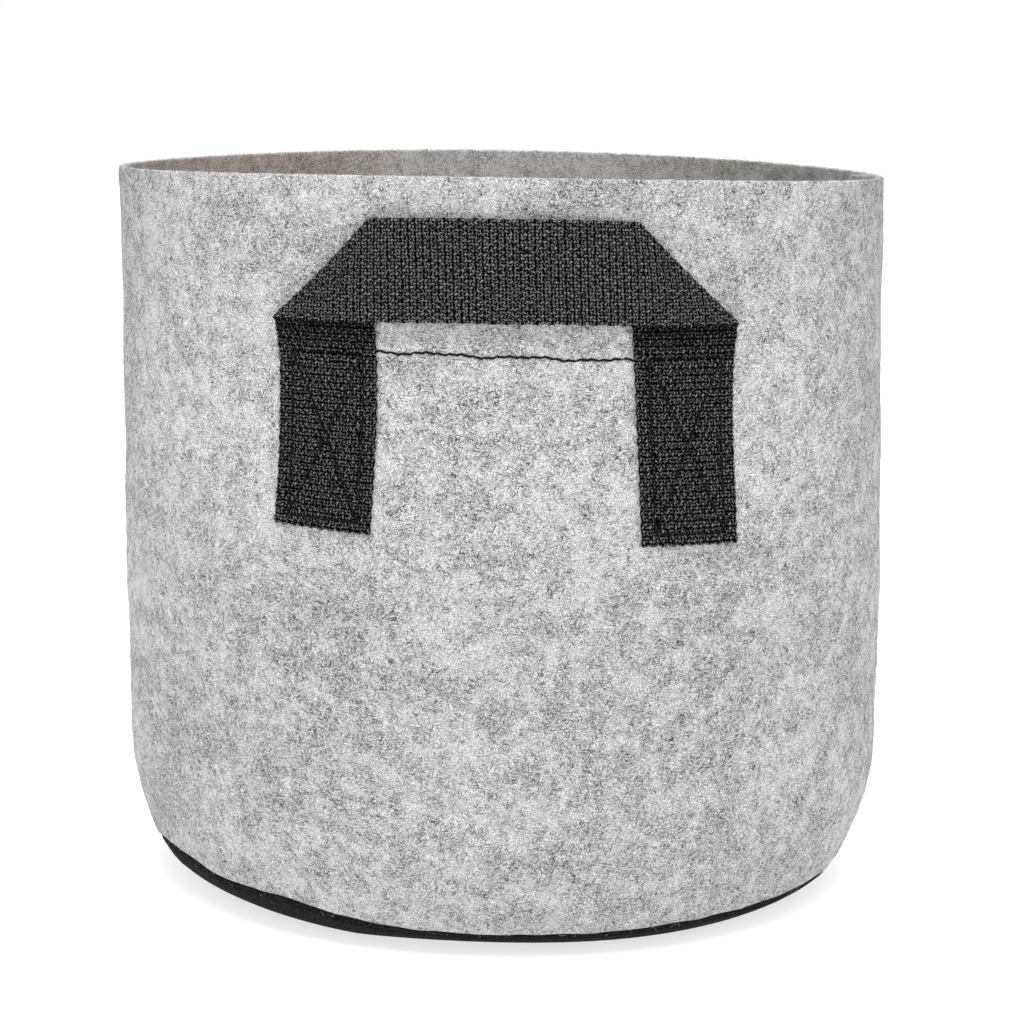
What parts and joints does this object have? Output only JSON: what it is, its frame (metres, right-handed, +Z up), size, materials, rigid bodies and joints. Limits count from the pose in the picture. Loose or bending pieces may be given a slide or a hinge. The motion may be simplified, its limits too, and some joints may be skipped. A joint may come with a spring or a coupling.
{
  "type": "fabric grow bag",
  "caption": "Round open-topped plant bag of thick grey felt with a black felt base and flat webbing handles sewn to its wall.",
  "frame": {"origin": "centre of the base, on the surface the bag stands on", "axes": "+Z up, -Y is the front with the pictured handle, +X is the wall's own vertical seam"},
  "size_m": [0.305, 0.3116, 0.284],
  "materials": {
    "grey_felt": "matte",
    "black_felt": "matte",
    "black_webbing": "satin",
    "black_thread": "satin"
  },
  "bodies": {
    "bag": {"wall_panel": "grey_felt", "base_panel": "black_felt", "side_seam_needle_thread": "black_thread", "side_seam_bobbin_thread": "black_thread", "base_seam_needle_thread": "black_thread", "base_seam_bobbin_thread": "black_thread", "front_cross_needle_thread": "black_thread", "front_cross_bobbin_thread": "black_thread", "front_left_leg": "black_webbing", "front_left_box_needle_thread": "black_thread", "front_left_box_bobbin_thread": "black_thread", "front_right_leg": "black_webbing", "front_right_box_needle_thread": "black_thread", "front_right_box_bobbin_thread": "black_thread", "back_cross_needle_thread": "black_thread", "back_cross_bobbin_thread": "black_thread", "back_left_leg": "black_webbing", "back_left_box_needle_thread": "black_thread", "back_left_box_bobbin_thread": "black_thread", "back_right_leg": "black_webbing", "back_right_box_needle_thread": "black_thread", "back_right_box_bobbin_thread": "black_thread"},
    "front_handle": {"front_handle_loop": "black_webbing"},
    "back_handle": {"back_handle_loop": "black_webbing"}
  },
  "joints": [
    {"name": "front_handle_fold", "type": "hinge", "parent": "bag", "child": "front_handle", "pos_m": [0, -0.148, 0.2235], "axis": [1, 0, 0], "range_deg": [0, 90], "stiffness_Nm_per_rad": 0.01},
    {"name": "back_handle_fold", "type": "hinge", "parent": "bag", "child": "back_handle", "pos_m": [0, 0.148, 0.2235], "axis": [-1, 0, 0], "range_deg": [0, 90], "stiffness_Nm_per_rad": 0.01}
  ]
}
